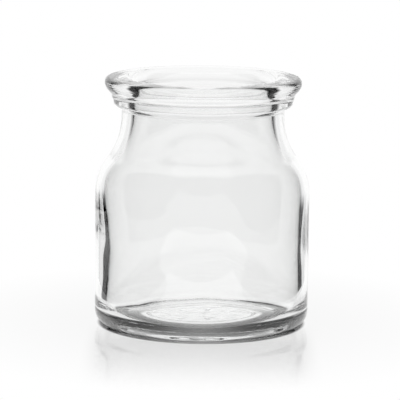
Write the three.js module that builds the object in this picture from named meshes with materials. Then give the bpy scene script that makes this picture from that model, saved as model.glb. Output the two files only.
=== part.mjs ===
// Glass yogurt jar: one solid of clear glass, empty and without a lid.
// Millimetres, +Z up, origin at the centre of the ring that the jar stands on.

import * as THREE from 'three';

// Driving dimensions
const HEIGHT = 81.1;
const BODY_RADIUS = 35;
const BODY_WALL = 3.5;
const MOUTH_RADIUS = 22.2;
const FLOOR_Z = 2.4;

// Base: a flat bearing ring round a shallow push-up, and a rounded heel outside it
const BEARING_OUTER = 31;
const BEARING_INNER = 27;
const PUSH_UP_RADIUS = 23;
const PUSH_UP_EDGE_Z = 0.5;
const PUSH_UP_CENTRE_Z = 0.6;
const HEEL_HEIGHT = 4.6;

// Shoulder: a convex arc from the body, then a hollow one up to the neck
const SHOULDER_Z = 43.1;
const SHOULDER_RADIUS = 19.7;
const SWEEP_RADIUS = 24.2;
const NECK_RADIUS = 26.5;

// Finish: a tapered collar that spreads into the flange a snap lid grips
const COLLAR_Z = 70.45;
const COLLAR_RADIUS = 29.3;
const COLLAR_EDGE = 2.6;
const COLLAR_TOP_RADIUS = 29.95;
const FLANGE_Z = 75.6;
const LIP_RADIUS = 32.05;
const LIP_Z = 79.3;
const LAND_OUTER = 30.6;
const MOUTH_EDGE = 3.4;

// How far the collar's edge and the flange run straight before they turn
const COLLAR_LEAVE = 0.75;
const COLLAR_ARRIVE = 1.6;
const FLANGE_LEAVE = 0.9;
const FLANGE_ARRIVE = 1.9;

// Inside: a barely crowned floor that rounds up into the wall
const CORNER_WIDTH = 5;
const CORNER_HEIGHT = 7;
const FLOOR_CROWN = 0.1;

// Fineness: sides round the axis and steps along each curve
const SIDES = 72;
const LONG_CURVE_STEPS = 5;
const SHORT_CURVE_STEPS = 4;

const glass = new THREE.MeshStandardMaterial({
  color: 0xeef2f1,
  roughness: 0.04,
  metalness: 0,
  transparent: true,
  opacity: 0.35,
});

// A profile point has its distance from the axis as x and its height as y
function at(radius, z) {
  return new THREE.Vector2(radius, z);
}

function alongCurve(curve, steps) {
  return curve.getPoints(steps);
}

// A bend that leaves and arrives along the given control points
function bend(start, leave, arrive, end) {
  return alongCurve(new THREE.CubicBezierCurve(start, leave, arrive, end), SHORT_CURVE_STEPS);
}

// Part of an ellipse round a centre, between two angles in degrees
function round(centre, width, height, from, to, steps) {
  const start = THREE.MathUtils.degToRad(from);
  const end = THREE.MathUtils.degToRad(to);
  const ellipse = new THREE.EllipseCurve(centre.x, centre.y, width, height, start, end, to < from);
  return alongCurve(ellipse, steps);
}

// The convex arc and the hollow arc meet where both lean in by the same angle
function shoulder(bodyRadius, neckRadius, convexRadius, hollowRadius) {
  const lean = Math.acos(1 - (bodyRadius - neckRadius) / (convexRadius + hollowRadius));
  const degrees = THREE.MathUtils.radToDeg(lean);
  const convexCentre = at(bodyRadius - convexRadius, SHOULDER_Z);
  const neckZ = SHOULDER_Z + (convexRadius + hollowRadius) * Math.sin(lean);
  const hollowCentre = at(neckRadius + hollowRadius, neckZ);
  return [
    ...round(convexCentre, convexRadius, convexRadius, 0, degrees, LONG_CURVE_STEPS),
    ...round(hollowCentre, hollowRadius, hollowRadius, 180 + degrees, 180, LONG_CURVE_STEPS),
  ];
}

function underside() {
  const push = PUSH_UP_CENTRE_Z - PUSH_UP_EDGE_Z;
  const panel = round(at(0, PUSH_UP_EDGE_Z), PUSH_UP_RADIUS, push, 90, 0, SHORT_CURVE_STEPS);
  const middle = (PUSH_UP_RADIUS + BEARING_INNER) / 2;
  const rise = bend(
    at(PUSH_UP_RADIUS, PUSH_UP_EDGE_Z),
    at(middle, PUSH_UP_EDGE_Z),
    at(middle, 0),
    at(BEARING_INNER, 0),
  );
  return [...panel, ...rise];
}

function heel() {
  const width = BODY_RADIUS - BEARING_OUTER;
  return round(at(BEARING_OUTER, HEEL_HEIGHT), width, HEEL_HEIGHT, -90, 0, LONG_CURVE_STEPS);
}

// How far out the collar's face leans for each millimetre up
function collarTaper() {
  return (COLLAR_TOP_RADIUS - COLLAR_RADIUS) / (FLANGE_Z - COLLAR_Z - COLLAR_EDGE);
}

function collar() {
  const faceZ = COLLAR_Z + COLLAR_EDGE;
  return [
    ...bend(
      at(NECK_RADIUS, COLLAR_Z),
      at(NECK_RADIUS, COLLAR_Z + COLLAR_LEAVE),
      at(COLLAR_RADIUS - collarTaper() * COLLAR_ARRIVE, faceZ - COLLAR_ARRIVE),
      at(COLLAR_RADIUS, faceZ),
    ),
    at(COLLAR_TOP_RADIUS, FLANGE_Z),
  ];
}

function flange() {
  const below = bend(
    at(COLLAR_TOP_RADIUS, FLANGE_Z),
    at(COLLAR_TOP_RADIUS + collarTaper() * FLANGE_LEAVE, FLANGE_Z + FLANGE_LEAVE),
    at(LIP_RADIUS, LIP_Z - FLANGE_ARRIVE),
    at(LIP_RADIUS, LIP_Z),
  );
  const width = LIP_RADIUS - LAND_OUTER;
  const edge = round(at(LAND_OUTER, LIP_Z), width, HEIGHT - LIP_Z, 0, 90, SHORT_CURVE_STEPS);
  return [...below, ...edge];
}

function mouth() {
  const centre = at(MOUTH_RADIUS + MOUTH_EDGE, HEIGHT - MOUTH_EDGE);
  return round(centre, MOUTH_EDGE, MOUTH_EDGE, 90, 180, SHORT_CURVE_STEPS);
}

// Inside, the shoulder follows the outer one and the wall ends a little thicker in the neck
function inside() {
  const innerRadius = BODY_RADIUS - BODY_WALL;
  const upwards = shoulder(
    innerRadius,
    MOUTH_RADIUS,
    SHOULDER_RADIUS - BODY_WALL,
    SWEEP_RADIUS + BODY_WALL,
  );
  const cornerCentre = at(innerRadius - CORNER_WIDTH, FLOOR_Z + CORNER_HEIGHT);
  return [
    ...upwards.reverse(),
    ...round(cornerCentre, CORNER_WIDTH, CORNER_HEIGHT, 0, -90, SHORT_CURVE_STEPS),
    at(0, FLOOR_Z + FLOOR_CROWN),
  ];
}

// Where two stretches meet they share a point, and it is kept once
function joined(points) {
  const tolerance = 0.001;
  return points.filter((point, i) => i === 0 || point.distanceTo(points[i - 1]) > tolerance);
}

function jar() {
  const profile = joined([
    ...underside(),
    ...heel(),
    ...shoulder(BODY_RADIUS, NECK_RADIUS, SHOULDER_RADIUS, SWEEP_RADIUS),
    ...collar(),
    ...flange(),
    ...mouth(),
    ...inside(),
  ]);
  profile[0].x = 0;
  const mesh = new THREE.Mesh(new THREE.LatheGeometry(profile, SIDES), glass);
  mesh.name = 'jar';
  mesh.rotation.x = Math.PI / 2;
  return mesh;
}

const group = new THREE.Group();
group.add(jar());

export default group;
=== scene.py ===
"""A clear glass yogurt jar, empty and open, on a white studio table.

Sizes are millimetres as named values and turned into metres where meshes are made.
The jar is one lathed mesh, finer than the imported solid, with the uneven inner wall,
mould seams and base marks that pressed glass has.
"""
import math

import bpy
from mathutils import Matrix, Vector, noise


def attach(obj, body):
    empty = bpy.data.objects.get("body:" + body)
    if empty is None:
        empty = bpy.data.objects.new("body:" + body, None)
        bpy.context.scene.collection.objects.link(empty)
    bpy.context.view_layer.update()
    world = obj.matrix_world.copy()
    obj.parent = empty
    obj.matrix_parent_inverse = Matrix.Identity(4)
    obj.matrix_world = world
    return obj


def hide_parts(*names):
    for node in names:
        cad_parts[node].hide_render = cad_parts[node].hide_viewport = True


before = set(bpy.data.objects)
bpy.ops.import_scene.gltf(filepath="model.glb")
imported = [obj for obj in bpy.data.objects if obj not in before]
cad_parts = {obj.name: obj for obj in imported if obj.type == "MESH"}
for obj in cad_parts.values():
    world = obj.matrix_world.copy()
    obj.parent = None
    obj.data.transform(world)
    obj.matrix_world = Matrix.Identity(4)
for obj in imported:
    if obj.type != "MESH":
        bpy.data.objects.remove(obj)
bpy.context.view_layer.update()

MM = 0.001

# Jar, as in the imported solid
HEIGHT = 81.1
BODY_RADIUS = 35.0
MOUTH_RADIUS = 22.2
FLOOR_Z = 2.4
BEARING_OUTER = 31.0
BEARING_INNER = 27.0
PUSH_UP_RADIUS = 23.0
PUSH_UP_EDGE_Z = 0.5
PUSH_UP_CENTRE_Z = 0.6
HEEL_HEIGHT = 4.6
SHOULDER_Z = 43.1
SHOULDER_RADIUS = 19.7
SWEEP_RADIUS = 24.2
NECK_RADIUS = 26.5
COLLAR_Z = 70.45
COLLAR_RADIUS = 29.3
COLLAR_EDGE = 2.6
COLLAR_TOP_RADIUS = 29.95
FLANGE_Z = 75.6
LIP_RADIUS = 32.05
LIP_Z = 79.3
LAND_OUTER = 30.6
COLLAR_LEAVE = 0.75
COLLAR_ARRIVE = 1.6
FLANGE_LEAVE = 0.9
FLANGE_ARRIVE = 1.9
MOUTH_EDGE = 3.4
CORNER_WIDTH = 5.0
CORNER_HEIGHT = 7.0
FLOOR_CROWN = 0.1

# Wall thickness of the body: at the foot, at its thickest and under the shoulder
WALL_FOOT = 3.3
WALL_THICKEST = 3.85
WALL_THICKEST_Z = 20.0
WALL_SHOULDER = 3.0

# Unevenness of the glass: how far the bore is off centre, and heights and lengths of its waves
BORE_SHIFT = 0.3
SWELL = 0.06
SWELL_ACROSS = 16
SWELL_UP = 30
RIPPLE = 0.04
RIPPLE_ACROSS = 7
RIPPLE_UP = 9
FLOOR_WAVE = 0.06
FLOOR_WAVE_ACROSS = 9
PANEL_WAVE = 0.12
PANEL_WAVE_ACROSS = 6

# Plain marks in the underside: a ring, short bars in a circle and a few dots
MARK_DEPTH = 0.45
MARK_HALF_WIDTH = 0.75
MARK_RING = 17.5
BAR_COUNT = 9
BAR_MIDDLE = 12.0
BAR_HALF_LENGTH = 1.6
DOT_RADIUS = 1.15
DOTS = ((0.0, 0.0), (5.5, 0.6), (5.5, 2.7), (5.5, 4.8))

# The two seams of the mould, up the left and right of the jar
SEAM_ANGLE = 0.12
SEAM_HALF_WIDTH = 0.7
SEAM_PROUD = 0.03
SEAM_SUNK = 0.03

# Glass, with faint surface waves and the stipple of the bearing ring
GLASS_IOR = 1.52
TINT = 0.985
WAVE_SCALE = 55.0
WAVE_STRENGTH = 0.5
WAVE_HEIGHT = 0.05
SMEAR_ROUGHNESS = 0.012
SMEAR_FROM = 0.35
SMEAR_FULL = 0.75
STIPPLE_SCALE = 900.0
STIPPLE_STRENGTH = 1.0
STIPPLE_HEIGHT = 0.25
FROST_ROUGHNESS = 0.42
FROST_FADE = 0.6

# Fineness of the mesh: sides round the axis, and steps along the profile
SIDES = 288
CURVE_STEP = 0.6
MARKED_STEP = 0.45
FLOOR_STEP = 1.2
STRAIGHT_STEP = 1.6

# Camera, fitted to the photo's rim and base ellipses
CAMERA_ELEVATION = 9.785
CAMERA_DISTANCE = 900.0
CAMERA_ROLL = 0.58
CAMERA_LENS = 247.8
SENSOR_WIDTH = 36.0
AIM_X = -0.719
AIM_Z = 40.524

# Studio set: a white backdrop and ceiling, two side panels and a black card in front.
# BEHIND is how far behind the jar, and negative in front of it. LIT is a strength of light.
SET_BEHIND = 112.0
SET_HALF_WIDTH = 77.0
SET_BELOW = 160.0
SET_ABOVE = 150.0
BACK_FULL = 75.0
BACK_TOP_LIT = 0.75
WALL_FRONT = -420.0
FLAG_BEHIND = 62.0
FLAG_END = 65.0
FLAG_TOP = 0.0
FLAG_SOFT = 9.0
WALL_LIT = 0.9
UPPER_BEHIND = 30.0
UPPER_END = 50.0
CEILING_LIT = 0.8
CEILING_FRONT = -120.0
WORLD_LIT = 0.01

# The black card: its distances from the camera, and how far it stays outside the picture
CARD_NEAR = 200.0
CARD_FAR = 785.0
CARD_CLEAR = 1.03
CARD_LIT = 0.0

# Table: its mirror sheen, the jar's painted soft shadow, a painted dark ring of contact shade and
# painted dimming far away
FLOOR_HALF = 1500.0
FLOOR_GAP = 0.1
MIRROR_NEAR = 38.0
MIRROR_FAR = 98.0
TABLE_ROUGHNESS = 0.05
TABLE_IOR = 1.49
SHADOW_SIDE = 28.0
SHADOW_OUTSIDE = 38.0
SHADOW_START = 30.0
SHADOW_FRONT = 95.0
SHADOW_DEEP = 0.24
# Painted contact shade: a dark ring on the table round the bearing ring, deep in front of and
# beside the jar, faint behind it
CONTACT_SHADE_INNER = 21.0
CONTACT_SHADE_OUTER = 33.0
CONTACT_SHADE_SOFT = 1.5
CONTACT_SHADE_DEEP = 1.0
CONTACT_SHADE_BACK = 0.15
CONTACT_SHADE_TURN = 4.0
CONTACT_SHADE_FAR = 24.0
CONTACT_SHADE_MIDDLE = 0.8
CONTACT_SHADE_SIDES = 24.0
PALE_FAR = 150.0
DIM_FAR = 300.0
DIM_DEEP = 0.5


def point_in_view(right, up, depth):
    """A point given in the camera's own frame, in metres: depth is how far it lies in front."""
    return Vector((right * MM, up * MM, -depth * MM))


def make_camera():
    elevation = math.radians(CAMERA_ELEVATION)
    roll = math.radians(CAMERA_ROLL)
    forward = Vector((0, math.cos(elevation), -math.sin(elevation)))
    level_right = Vector((1, 0, 0))
    level_up = level_right.cross(forward)
    right = level_right * math.cos(roll) + level_up * math.sin(roll)
    up = level_up * math.cos(roll) - level_right * math.sin(roll)
    target = Vector((AIM_X, 0, AIM_Z)) * MM
    place = target - forward * CAMERA_DISTANCE * MM
    turn = Matrix((right, up, -forward)).transposed().to_4x4()
    data = bpy.data.cameras.new("camera")
    data.lens = CAMERA_LENS
    data.sensor_width = SENSOR_WIDTH
    data.clip_start = 0.01
    data.clip_end = 20.0
    camera = bpy.data.objects.new("camera", data)
    bpy.context.scene.collection.objects.link(camera)
    camera.matrix_world = Matrix.Translation(place) @ turn
    bpy.context.scene.camera = camera
    return camera


def new_mesh_object(name, vertices, faces, material, smooth=False):
    mesh = bpy.data.meshes.new(name)
    mesh.from_pydata(vertices, [], faces)
    mesh.validate()
    mesh.polygons.foreach_set("use_smooth", [smooth] * len(mesh.polygons))
    mesh.materials.append(material)
    mesh.update()
    obj = bpy.data.objects.new(name, mesh)
    bpy.context.scene.collection.objects.link(obj)
    return obj


def new_material(name):
    material = bpy.data.materials.new(name)
    material.use_nodes = True
    material.node_tree.nodes.clear()
    return material, material.node_tree.nodes, material.node_tree.links


def map_range(nodes, links, source, from_min, from_max, to_min, to_max, smooth=False):
    """Reads one range of a value as another, clamped at both ends."""
    node = nodes.new("ShaderNodeMapRange")
    if smooth:
        node.interpolation_type = "SMOOTHSTEP"
    node.inputs["From Min"].default_value = from_min
    node.inputs["From Max"].default_value = from_max
    node.inputs["To Min"].default_value = to_min
    node.inputs["To Max"].default_value = to_max
    links.new(source, node.inputs["Value"])
    return node.outputs["Result"]


def multiply(nodes, links, first, second):
    node = nodes.new("ShaderNodeMath")
    node.operation = "MULTIPLY"
    links.new(first, node.inputs[0])
    links.new(second, node.inputs[1])
    return node.outputs["Value"]


def at(radius, z):
    return (radius, z)


def bend(start, leave, arrive, end):
    """A cubic curve from start to end that leaves and arrives along the control points."""
    length = math.dist(start, leave) + math.dist(leave, arrive) + math.dist(arrive, end)
    steps = max(4, round(length / CURVE_STEP))
    points = []
    for i in range(steps + 1):
        t = i / steps
        weights = ((1 - t) ** 3, 3 * (1 - t) ** 2 * t, 3 * (1 - t) * t * t, t ** 3)
        corners = (start, leave, arrive, end)
        points.append(tuple(sum(w * c[k] for w, c in zip(weights, corners)) for k in (0, 1)))
    return points


def arc(centre, width, height, start, end, step=CURVE_STEP):
    """Part of an ellipse round a centre, between two angles in degrees."""
    span = math.radians(abs(end - start))
    steps = max(6, round(span * max(width, height) / step))
    points = []
    for i in range(steps + 1):
        angle = math.radians(start + (end - start) * i / steps)
        points.append((centre[0] + width * math.cos(angle), centre[1] + height * math.sin(angle)))
    return points


def straight(start, end):
    steps = max(1, round(math.dist(start, end) / STRAIGHT_STEP))
    points = []
    for i in range(steps + 1):
        t = i / steps
        points.append((start[0] + (end[0] - start[0]) * t, start[1] + (end[1] - start[1]) * t))
    return points


def shoulder(body_radius, neck_radius, convex_radius, hollow_radius):
    """The convex arc and the hollow arc meet where both lean in by the same angle."""
    lean = math.acos(1 - (body_radius - neck_radius) / (convex_radius + hollow_radius))
    neck_z = SHOULDER_Z + (convex_radius + hollow_radius) * math.sin(lean)
    degrees = math.degrees(lean)
    convex_centre = at(body_radius - convex_radius, SHOULDER_Z)
    hollow_centre = at(neck_radius + hollow_radius, neck_z)
    return [
        *arc(convex_centre, convex_radius, convex_radius, 0, degrees),
        *arc(hollow_centre, hollow_radius, hollow_radius, 180 + degrees, 180),
    ]


def underside():
    push = PUSH_UP_CENTRE_Z - PUSH_UP_EDGE_Z
    middle = (PUSH_UP_RADIUS + BEARING_INNER) / 2
    return [
        *arc(at(0, PUSH_UP_EDGE_Z), PUSH_UP_RADIUS, push, 90, 0, MARKED_STEP),
        *bend(
            at(PUSH_UP_RADIUS, PUSH_UP_EDGE_Z),
            at(middle, PUSH_UP_EDGE_Z),
            at(middle, 0),
            at(BEARING_INNER, 0),
        ),
        *straight(at(BEARING_INNER, 0), at(BEARING_OUTER, 0)),
    ]


def outside():
    heel_width = BODY_RADIUS - BEARING_OUTER
    walls = shoulder(BODY_RADIUS, NECK_RADIUS, SHOULDER_RADIUS, SWEEP_RADIUS)
    return [
        *arc(at(BEARING_OUTER, HEEL_HEIGHT), heel_width, HEEL_HEIGHT, -90, 0),
        *straight(at(BODY_RADIUS, HEEL_HEIGHT), walls[0]),
        *walls,
        *straight(walls[-1], at(NECK_RADIUS, COLLAR_Z)),
    ]


def finish():
    """Collar, flange, the land that a lid seals on and the rounded edge of the mouth."""
    lip_width = LIP_RADIUS - LAND_OUTER
    mouth_centre = at(MOUTH_RADIUS + MOUTH_EDGE, HEIGHT - MOUTH_EDGE)
    collar_low_z = COLLAR_Z + COLLAR_EDGE
    taper = (COLLAR_TOP_RADIUS - COLLAR_RADIUS) / (FLANGE_Z - collar_low_z)
    return [
        *bend(
            at(NECK_RADIUS, COLLAR_Z),
            at(NECK_RADIUS, COLLAR_Z + COLLAR_LEAVE),
            at(COLLAR_RADIUS - taper * COLLAR_ARRIVE, collar_low_z - COLLAR_ARRIVE),
            at(COLLAR_RADIUS, collar_low_z),
        ),
        *straight(at(COLLAR_RADIUS, collar_low_z), at(COLLAR_TOP_RADIUS, FLANGE_Z)),
        *bend(
            at(COLLAR_TOP_RADIUS, FLANGE_Z),
            at(COLLAR_TOP_RADIUS + taper * FLANGE_LEAVE, FLANGE_Z + FLANGE_LEAVE),
            at(LIP_RADIUS, LIP_Z - FLANGE_ARRIVE),
            at(LIP_RADIUS, LIP_Z),
        ),
        *arc(at(LAND_OUTER, LIP_Z), lip_width, HEIGHT - LIP_Z, 0, 90),
        *straight(at(LAND_OUTER, HEIGHT), at(mouth_centre[0], HEIGHT)),
        *arc(mouth_centre, MOUTH_EDGE, MOUTH_EDGE, 90, 180),
    ]


def wall_thickness(z):
    """Thickest low on the body and thinner towards the foot and the shoulder."""
    if z < WALL_THICKEST_Z:
        fall = (WALL_THICKEST_Z - z) / WALL_THICKEST_Z
        return WALL_THICKEST + (WALL_FOOT - WALL_THICKEST) * min(1.0, fall) ** 2
    fall = (z - WALL_THICKEST_Z) / (SHOULDER_Z - WALL_THICKEST_Z)
    ease = 3 * min(1.0, fall) ** 2 - 2 * min(1.0, fall) ** 3
    return WALL_THICKEST + (WALL_SHOULDER - WALL_THICKEST) * ease


def inside():
    top_radius = BODY_RADIUS - WALL_SHOULDER
    walls = shoulder(
        top_radius,
        MOUTH_RADIUS,
        SHOULDER_RADIUS - WALL_SHOULDER,
        SWEEP_RADIUS + WALL_SHOULDER,
    )
    walls.reverse()
    corner_z = FLOOR_Z + CORNER_HEIGHT
    body = [
        at(BODY_RADIUS - wall_thickness(z), z)
        for _, z in straight(at(0, SHOULDER_Z), at(0, corner_z))
    ]
    corner_centre = at(body[-1][0] - CORNER_WIDTH, corner_z)
    floor_edge = at(corner_centre[0], FLOOR_Z)
    return [
        *straight(at(MOUTH_RADIUS, HEIGHT - MOUTH_EDGE), walls[0]),
        *walls,
        *body,
        *arc(corner_centre, CORNER_WIDTH, CORNER_HEIGHT, 0, -90),
        *arc(at(0, FLOOR_Z), floor_edge[0], FLOOR_CROWN, 0, 90, FLOOR_STEP),
    ]


def joined(stretches):
    """One run of points, each with the name of its stretch, with no point twice."""
    run = []
    for name, points in stretches:
        for radius, z in points:
            if run and math.dist(run[-1][:2], (radius, z)) < 0.02:
                continue
            run.append((radius, z, name))
    return run


def ease(x):
    x = min(1.0, max(0.0, x))
    return x * x * (3 - 2 * x)


def lathe(name, profile, place, material):
    """Turns a profile that starts and ends on the axis; place gives each point of the mesh."""
    vertices = []
    rings = []
    for radius, z, part in profile:
        if radius < 0.01:
            rings.append([len(vertices)])
            vertices.append(Vector(place(0, z, part, 0)) * MM)
            continue
        rings.append(list(range(len(vertices), len(vertices) + SIDES)))
        for i in range(SIDES):
            angle = 2 * math.pi * i / SIDES
            vertices.append(Vector(place(radius, z, part, angle)) * MM)
    faces = []
    for low, high in zip(rings, rings[1:]):
        for i in range(SIDES):
            j = (i + 1) % SIDES
            if len(low) == 1:
                faces.append((low[0], high[j], high[i]))
            elif len(high) == 1:
                faces.append((low[i], low[j], high[0]))
            else:
                faces.append((low[i], low[j], high[j], high[i]))
    return new_mesh_object(name, vertices, faces, material, smooth=True)


def bump_across(distance, half_width):
    """A smooth ridge: 1 on its crest and 0 from half_width away."""
    return ease(1 - abs(distance) / half_width)


def angle_apart(angle, other):
    """The unsigned angle between two directions round the axis."""
    turn = (angle - other) % (2 * math.pi)
    return min(turn, 2 * math.pi - turn)


def base_marks(radius, angle):
    """How far the plain marks stand out of the underside, from 0 to 1."""
    ring = bump_across(radius - MARK_RING, MARK_HALF_WIDTH)
    step = 2 * math.pi / BAR_COUNT
    off_bar = angle_apart(angle, step * round(angle / step)) * radius
    along = bump_across(max(0.0, abs(radius - BAR_MIDDLE) - BAR_HALF_LENGTH), MARK_HALF_WIDTH)
    bars = bump_across(off_bar, MARK_HALF_WIDTH) * along
    dots = 0.0
    for dot_radius, dot_angle in DOTS:
        x = radius * math.cos(angle) - dot_radius * math.cos(dot_angle)
        y = radius * math.sin(angle) - dot_radius * math.sin(dot_angle)
        dots = max(dots, bump_across(math.hypot(x, y), DOT_RADIUS))
    return max(ring, bars, dots)


def glass_place(radius, z, part, angle):
    """Where a point of the profile lies once the unevenness of the glass is added."""
    x = radius * math.cos(angle)
    y = radius * math.sin(angle)
    if part == "inside":
        low = ease((z - FLOOR_Z) / 12) * ease((SHOULDER_Z + 8 - z) / 20)
        x += BORE_SHIFT * low
        slow = noise.noise(Vector((x / SWELL_ACROSS, y / SWELL_ACROSS, z / SWELL_UP)))
        quick = noise.noise(Vector((x / RIPPLE_ACROSS + 9, y / RIPPLE_ACROSS, z / RIPPLE_UP)))
        below_neck = ease((HEIGHT - 14 - z) / 16)
        swell = (SWELL * slow + RIPPLE * quick) * below_neck / max(radius, 8)
        wave = noise.noise(Vector((x / FLOOR_WAVE_ACROSS, y / FLOOR_WAVE_ACROSS, 3.0)))
        floor = FLOOR_WAVE * wave * ease((8 - z) / 3) * ease((radius - 1) / 3)
        return (x * (1 + swell), y * (1 + swell), z + floor)
    if part == "underside" and 0 < radius < PUSH_UP_RADIUS - 1:
        wave = noise.noise(Vector((x / PANEL_WAVE_ACROSS, y / PANEL_WAVE_ACROSS, 7.0)))
        lift = PANEL_WAVE * wave * ease((PUSH_UP_RADIUS - 1 - radius) / 3)
        return (x, y, z - MARK_DEPTH * base_marks(radius, angle) + lift)
    if part in ("outside", "finish") and radius > NECK_RADIUS - 0.1:
        seam = max(
            bump_across(angle_apart(angle, SEAM_ANGLE) * radius, SEAM_HALF_WIDTH),
            bump_across(angle_apart(angle, SEAM_ANGLE + math.pi) * radius, SEAM_HALF_WIDTH),
        )
        fade = ease((z - HEEL_HEIGHT) / 3) * ease((FLANGE_Z - z) / 4)
        out = 1 + SEAM_PROUD * seam * fade / radius - SEAM_SUNK / radius
        return (x * out, y * out, z)
    return (x, y, z)


def glass_material():
    """Clear pressed glass: faint surface waves, and a frosted stipple on the ring it stands on."""
    material, nodes, links = new_material("clear_glass")
    out = nodes.new("ShaderNodeOutputMaterial")
    shader = nodes.new("ShaderNodeBsdfPrincipled")
    shader.inputs["Base Color"].default_value = (TINT, TINT + 0.003, TINT + 0.001, 1.0)
    shader.inputs["Transmission Weight"].default_value = 1.0
    shader.inputs["IOR"].default_value = GLASS_IOR
    place = nodes.new("ShaderNodeTexCoord")
    parts = nodes.new("ShaderNodeSeparateXYZ")
    links.new(place.outputs["Object"], parts.inputs["Vector"])
    flat = nodes.new("ShaderNodeVectorMath")
    flat.operation = "MULTIPLY"
    flat.inputs[1].default_value = (1.0, 1.0, 0.0)
    links.new(place.outputs["Object"], flat.inputs[0])
    length = nodes.new("ShaderNodeVectorMath")
    length.operation = "LENGTH"
    links.new(flat.outputs["Vector"], length.inputs[0])
    radius = length.outputs["Value"]

    low = map_range(nodes, links, parts.outputs["Z"], 0.1 * MM, 0.3 * MM, 1.0, 0.0)
    inner_edge = (BEARING_INNER * MM, (BEARING_INNER + FROST_FADE) * MM)
    outer_edge = ((BEARING_OUTER - FROST_FADE) * MM, BEARING_OUTER * MM)
    inner = map_range(nodes, links, radius, *inner_edge, 0.0, 1.0, True)
    outer = map_range(nodes, links, radius, *outer_edge, 1.0, 0.0, True)
    ring = multiply(nodes, links, multiply(nodes, links, inner, outer), low)
    grains = nodes.new("ShaderNodeTexVoronoi")
    grains.inputs["Scale"].default_value = STIPPLE_SCALE
    links.new(place.outputs["Object"], grains.inputs["Vector"])
    stipple = multiply(nodes, links, grains.outputs["Distance"], ring)

    wave = nodes.new("ShaderNodeTexNoise")
    wave.inputs["Scale"].default_value = WAVE_SCALE
    wave.inputs["Detail"].default_value = 3.0
    links.new(place.outputs["Object"], wave.inputs["Vector"])
    fine = nodes.new("ShaderNodeBump")
    fine.inputs["Strength"].default_value = WAVE_STRENGTH
    fine.inputs["Distance"].default_value = WAVE_HEIGHT * MM
    links.new(wave.outputs["Fac"], fine.inputs["Height"])
    dots = nodes.new("ShaderNodeBump")
    dots.inputs["Strength"].default_value = STIPPLE_STRENGTH
    dots.inputs["Distance"].default_value = STIPPLE_HEIGHT * MM
    links.new(stipple, dots.inputs["Height"])
    links.new(fine.outputs["Normal"], dots.inputs["Normal"])
    links.new(dots.outputs["Normal"], shader.inputs["Normal"])

    haze = map_range(
        nodes, links, wave.outputs["Fac"], SMEAR_FROM, SMEAR_FULL, 0.0, SMEAR_ROUGHNESS
    )
    frost = nodes.new("ShaderNodeMath")
    frost.operation = "MULTIPLY_ADD"
    frost.inputs[1].default_value = FROST_ROUGHNESS
    links.new(ring, frost.inputs[0])
    links.new(haze, frost.inputs[2])
    links.new(frost.outputs["Value"], shader.inputs["Roughness"])
    links.new(shader.outputs["BSDF"], out.inputs["Surface"])
    return material


def make_jar():
    profile = joined([
        ("underside", underside()),
        ("outside", outside()),
        ("finish", finish()),
        ("inside", inside()),
    ])
    jar = lathe("glass_jar", profile, glass_place, glass_material())
    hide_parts("jar")
    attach(jar, "root")


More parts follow.
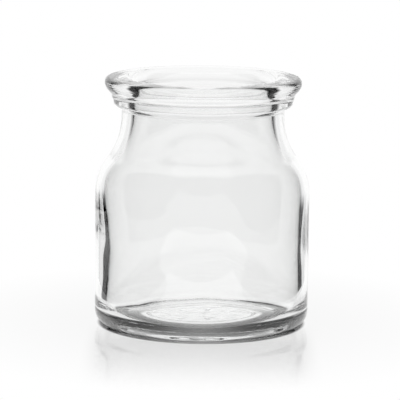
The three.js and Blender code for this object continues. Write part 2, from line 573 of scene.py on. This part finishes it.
def floor_material():
    """White glow with the jar's painted soft shadow, a painted ring of contact shade and painted
    dimming far off, and a mirror sheen that fades out away from the jar.
    """
    material, nodes, links = new_material("table_white")
    out = nodes.new("ShaderNodeOutputMaterial")
    geometry = nodes.new("ShaderNodeNewGeometry")
    place = geometry.outputs["Position"]
    length = nodes.new("ShaderNodeVectorMath")
    length.operation = "LENGTH"
    links.new(place, length.inputs[0])
    away = length.outputs["Value"]
    parts = nodes.new("ShaderNodeSeparateXYZ")
    links.new(place, parts.inputs["Vector"])
    sideways = nodes.new("ShaderNodeMath")
    sideways.operation = "ABSOLUTE"
    links.new(parts.outputs["X"], sideways.inputs[0])
    across, along = sideways.outputs["Value"], parts.outputs["Y"]

    def fade(source, near, far, at_near, at_far, smooth=True):
        return map_range(nodes, links, source, near * MM, far * MM, at_near, at_far, smooth)

    # Painted shadow of the jar, cast forward across the table within the jar's width
    beam = fade(across, SHADOW_SIDE, SHADOW_OUTSIDE, 1.0, 0.0)
    front = fade(along, -SHADOW_FRONT, -SHADOW_START, 0.0, SHADOW_DEEP)
    behind = fade(along, -SHADOW_START, 0.0, 1.0, 0.0, False)
    shadow = multiply(nodes, links, multiply(nodes, links, beam, front), behind)
    # Painted contact shade: a dark ring under the heel, deep in front and beside the jar, faint
    # behind it
    outer = fade(away, CONTACT_SHADE_OUTER, CONTACT_SHADE_OUTER + CONTACT_SHADE_SOFT, 1.0, 0.0)
    inner = fade(away, CONTACT_SHADE_INNER - CONTACT_SHADE_SOFT, CONTACT_SHADE_INNER, 0.0, 1.0)
    contact_shade = multiply(nodes, links, outer, inner)
    depth = fade(along, CONTACT_SHADE_TURN, CONTACT_SHADE_FAR, CONTACT_SHADE_DEEP, CONTACT_SHADE_BACK)
    sides = fade(across, 0.0, CONTACT_SHADE_SIDES, CONTACT_SHADE_MIDDLE, 1.0)
    contact_shade = multiply(nodes, links, contact_shade, multiply(nodes, links, depth, sides))
    darkest = nodes.new("ShaderNodeMath")
    darkest.operation = "MAXIMUM"
    links.new(shadow, darkest.inputs[0])
    links.new(contact_shade, darkest.inputs[1])
    open_light = nodes.new("ShaderNodeMath")
    open_light.operation = "SUBTRACT"
    open_light.inputs[0].default_value = 1.0
    links.new(darkest.outputs["Value"], open_light.inputs[1])
    # Painted dimming: the table's glow falls off far from the jar
    dim = fade(away, PALE_FAR, DIM_FAR, 1.0, DIM_DEEP)

    white = nodes.new("ShaderNodeEmission")
    links.new(multiply(nodes, links, open_light.outputs["Value"], dim), white.inputs["Strength"])
    gloss = nodes.new("ShaderNodeBsdfGlossy")
    gloss.inputs["Roughness"].default_value = TABLE_ROUGHNESS
    sheen = fade(away, MIRROR_NEAR, MIRROR_FAR, 1.0, 0.0, False)
    fresnel = nodes.new("ShaderNodeFresnel")
    fresnel.inputs["IOR"].default_value = TABLE_IOR
    mix = nodes.new("ShaderNodeMixShader")
    links.new(multiply(nodes, links, sheen, fresnel.outputs["Fac"]), mix.inputs["Fac"])
    links.new(white.outputs["Emission"], mix.inputs[1])
    links.new(gloss.outputs["BSDF"], mix.inputs[2])
    links.new(mix.outputs["Shader"], out.inputs["Surface"])
    return material


def make_floor():
    h = FLOOR_HALF * MM
    z = -FLOOR_GAP * MM
    corners = [(-h, -h, z), (h, -h, z), (h, h, z), (-h, h, z)]
    floor = new_mesh_object("table", corners, [(0, 1, 2, 3)], floor_material())


def backdrop_material():
    """White as far as the camera sees it, and a little dimmer above."""
    material, nodes, links = new_material("backdrop_white")
    out = nodes.new("ShaderNodeOutputMaterial")
    place = nodes.new("ShaderNodeTexCoord")
    parts = nodes.new("ShaderNodeSeparateXYZ")
    links.new(place.outputs["Object"], parts.inputs["Vector"])
    full, top = BACK_FULL * MM, SET_ABOVE * MM
    strength = map_range(nodes, links, parts.outputs["Y"], full, top, 1.0, BACK_TOP_LIT)
    light = nodes.new("ShaderNodeEmission")
    links.new(strength, light.inputs["Strength"])
    links.new(light.outputs["Emission"], out.inputs["Surface"])
    return material


def lit_material(name, strength):
    material, nodes, links = new_material(name)
    out = nodes.new("ShaderNodeOutputMaterial")
    light = nodes.new("ShaderNodeEmission")
    light.inputs["Strength"].default_value = strength
    links.new(light.outputs["Emission"], out.inputs["Surface"])
    return material


def side_material():
    """Black beside and in front of the jar and lit behind it, with a softer change further up."""
    material, nodes, links = new_material("side_flag")
    out = nodes.new("ShaderNodeOutputMaterial")
    place = nodes.new("ShaderNodeTexCoord")
    parts = nodes.new("ShaderNodeSeparateXYZ")
    links.new(place.outputs["Object"], parts.inputs["Vector"])

    def lit_behind(dark_behind, full_behind, strength):
        dark = -(CAMERA_DISTANCE + dark_behind) * MM
        full = -(CAMERA_DISTANCE + full_behind) * MM
        return map_range(nodes, links, parts.outputs["Z"], dark, full, 0.0, strength)

    lower = lit_behind(FLAG_BEHIND, FLAG_END, WALL_LIT)
    upper = lit_behind(UPPER_BEHIND, UPPER_END, 1.0)
    edge = ((FLAG_TOP - FLAG_SOFT) * MM, (FLAG_TOP + FLAG_SOFT) * MM)
    height = map_range(nodes, links, parts.outputs["Y"], *edge, 0.0, 1.0, True)
    blend = nodes.new("ShaderNodeMix")
    links.new(height, blend.inputs["Factor"])
    links.new(lower, blend.inputs["A"])
    links.new(upper, blend.inputs["B"])
    light = nodes.new("ShaderNodeEmission")
    links.new(blend.outputs["Result"], light.inputs["Strength"])
    links.new(light.outputs["Emission"], out.inputs["Surface"])
    return material


def set_piece(camera, name, corners, material):
    piece = new_mesh_object(name, corners, [(0, 1, 2, 3)], material)
    piece.parent = camera


def upright(camera, name, x, low, high, material):
    """A panel beside the jar, from the backdrop to the front of the set."""
    back = CAMERA_DISTANCE + SET_BEHIND
    front = CAMERA_DISTANCE + WALL_FRONT
    set_piece(camera, name, [
        point_in_view(x, low, back),
        point_in_view(x, high, back),
        point_in_view(x, high, front),
        point_in_view(x, low, front),
    ], material)


def make_set(camera):
    """The set turns with the camera, as if the jar stood on a turntable."""
    back = CAMERA_DISTANCE + SET_BEHIND
    low, high, side = -SET_BELOW, SET_ABOVE, SET_HALF_WIDTH
    set_piece(camera, "backdrop", [
        point_in_view(-side, low, back),
        point_in_view(side, low, back),
        point_in_view(side, high, back),
        point_in_view(-side, high, back),
    ], backdrop_material())
    over = CAMERA_DISTANCE + CEILING_FRONT
    set_piece(camera, "ceiling", [
        point_in_view(-side, high, back),
        point_in_view(side, high, back),
        point_in_view(side, high, over),
        point_in_view(-side, high, over),
    ], lit_material("ceiling_white", CEILING_LIT))
    flag = side_material()
    upright(camera, "left_flag", -side, low, high, flag)
    upright(camera, "right_flag", side, low, high, flag)
    half_view = SENSOR_WIDTH / 2 / CAMERA_LENS * CARD_CLEAR
    set_piece(camera, "front_card", [
        point_in_view(-side, -half_view * CARD_FAR, CARD_FAR),
        point_in_view(side, -half_view * CARD_FAR, CARD_FAR),
        point_in_view(side, -half_view * CARD_NEAR, CARD_NEAR),
        point_in_view(-side, -half_view * CARD_NEAR, CARD_NEAR),
    ], lit_material("card_black", CARD_LIT))


def make_world():
    world = bpy.data.worlds.new("studio")
    world.use_nodes = True
    background = world.node_tree.nodes["Background"]
    background.inputs["Color"].default_value = (1.0, 1.0, 1.0, 1.0)
    background.inputs["Strength"].default_value = WORLD_LIT
    bpy.context.scene.world = world


def set_render_look():
    scene = bpy.context.scene
    scene.view_settings.view_transform = "Standard"
    scene.view_settings.look = "None"
    scene.cycles.max_bounces = 24
    scene.cycles.transmission_bounces = 24
    scene.cycles.glossy_bounces = 16


camera = make_camera()
make_world()
make_floor()
make_set(camera)
make_jar()
set_render_look()
